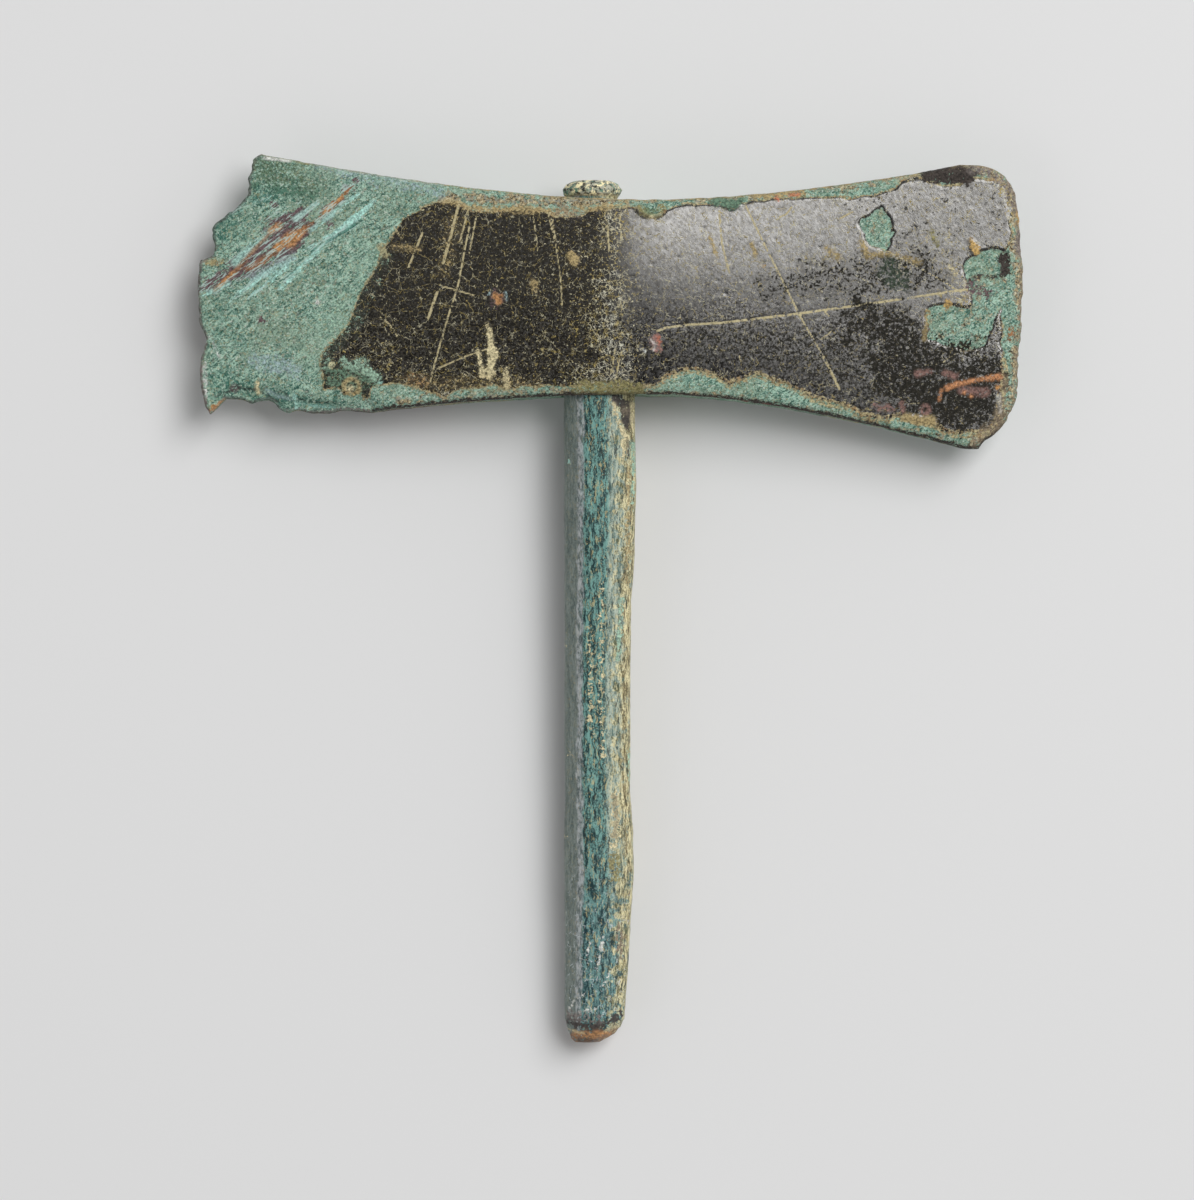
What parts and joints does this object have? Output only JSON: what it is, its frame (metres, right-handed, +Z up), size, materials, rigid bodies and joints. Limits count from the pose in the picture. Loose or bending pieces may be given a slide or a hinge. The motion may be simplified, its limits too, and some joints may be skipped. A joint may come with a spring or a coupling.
{
  "type": "bronze double axe with shaft",
  "caption": "Small ancient bronze double axe: wedge-shaped head, one blade broken, on a faceted bronze shaft with a hammered-over knob.",
  "frame": {"origin": "on the surface the axe lies on, at the middle of the small flat of the head's belly, below the eye", "axes": "+X along the head to the whole blade, +Y along the shaft to the knob, +Z up through the thickness"},
  "size_m": [0.099, 0.1067, 0.0117],
  "materials": {
    "head_bronze": "worn black patina, glossy in the right half, over matte green corrosion at the broken blade and along the sides, with scratches and tan crust",
    "shaft_bronze": "grey-green and dark teal corrosion in lengthwise streaks, tan crust on one side, rusty orange break at the lower end"
  },
  "bodies": {
    "root": {"axe_head": "head_bronze", "shaft": "shaft_bronze"}
  },
  "joints": []
}
